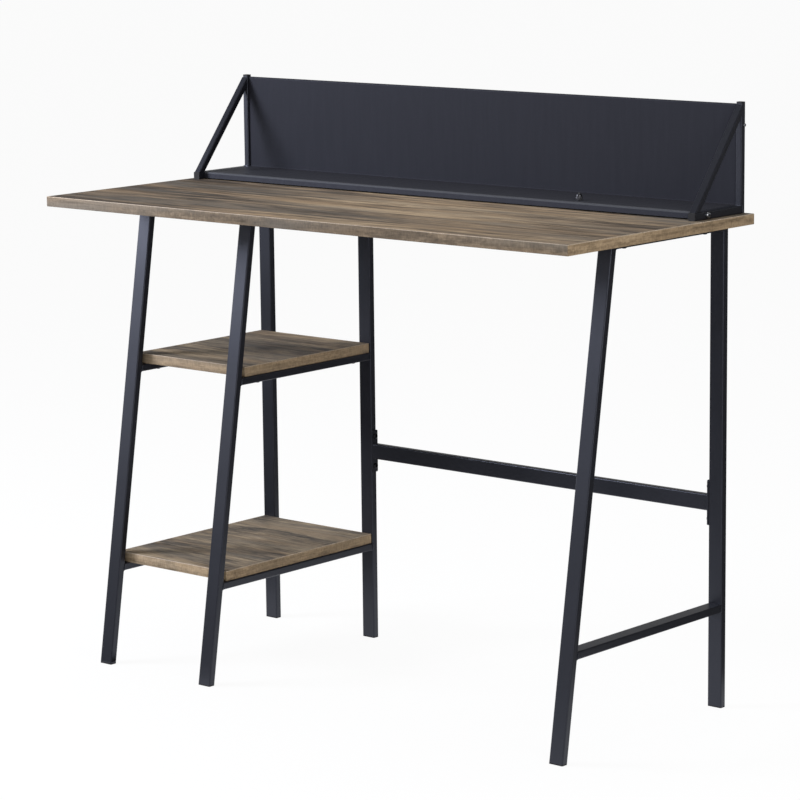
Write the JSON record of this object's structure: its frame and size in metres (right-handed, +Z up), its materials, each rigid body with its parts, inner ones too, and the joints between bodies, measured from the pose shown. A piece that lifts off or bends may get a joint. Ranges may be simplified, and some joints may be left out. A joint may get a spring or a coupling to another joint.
{
  "type": "ladder desk",
  "caption": "Narrow writing desk on slanted tube frames, with a shelf pedestal at one end, a rear stretcher and a low hutch with a folded steel tray.",
  "frame": {"origin": "on the floor, under the middle of the desktop", "axes": "+X to the right as seen from the sitter's side, +Y to the back, +Z up"},
  "size_m": [1.04, 0.452, 0.927],
  "materials": {
    "wood_laminate": "satin laminate, grey-brown oak",
    "frame_paint": "satin powder coat",
    "tray_charcoal": "matt powder coat",
    "black_plastic": "moulded",
    "bright_zinc": "bright zinc plate",
    "black_steel": "black oxide"
  },
  "bodies": {
    "root": {"desktop": "wood_laminate", "desktop_screws": "black_steel", "hutch_left_base_bar": "frame_paint", "hutch_left_brace": "frame_paint", "hutch_left_cap": "black_plastic", "hutch_left_end_plug": "black_plastic", "hutch_left_upright": "frame_paint", "hutch_right_base_bar": "frame_paint", "hutch_right_brace": "frame_paint", "hutch_right_cap": "black_plastic", "hutch_right_end_plug": "black_plastic", "hutch_right_upright": "frame_paint", "hutch_rivet_nuts": "bright_zinc", "hutch_screws": "black_steel", "hutch_tray": "tray_charcoal", "inner_frame_front_leg": "frame_paint", "inner_frame_lower_crossbar": "frame_paint", "inner_frame_rear_leg": "frame_paint", "inner_frame_top_bar": "frame_paint", "inner_frame_upper_crossbar": "frame_paint", "inner_front_foot": "black_plastic", "inner_rear_foot": "black_plastic", "left_frame_front_leg": "frame_paint", "left_frame_lower_crossbar": "frame_paint", "left_frame_rear_leg": "frame_paint", "left_frame_top_bar": "frame_paint", "left_frame_upper_crossbar": "frame_paint", "left_front_foot": "black_plastic", "left_rear_foot": "black_plastic", "lower_shelf": "wood_laminate", "rear_stretcher": "frame_paint", "right_frame_front_leg": "frame_paint", "right_frame_lower_crossbar": "frame_paint", "right_frame_rear_leg": "frame_paint", "right_frame_top_bar": "frame_paint", "right_front_foot": "black_plastic", "right_rear_foot": "black_plastic", "shelf_screws": "black_steel", "stretcher_bolts": "black_steel", "stretcher_left_plate": "frame_paint", "stretcher_right_plate": "frame_paint", "stretcher_rivet_nuts": "bright_zinc", "tray_bolts": "bright_zinc", "tray_cap_nut": "black_steel", "tray_hold_bolt": "black_steel", "tray_rivet_nuts": "bright_zinc", "tray_sheet_screws": "bright_zinc", "upper_shelf": "wood_laminate"}
  },
  "joints": []
}
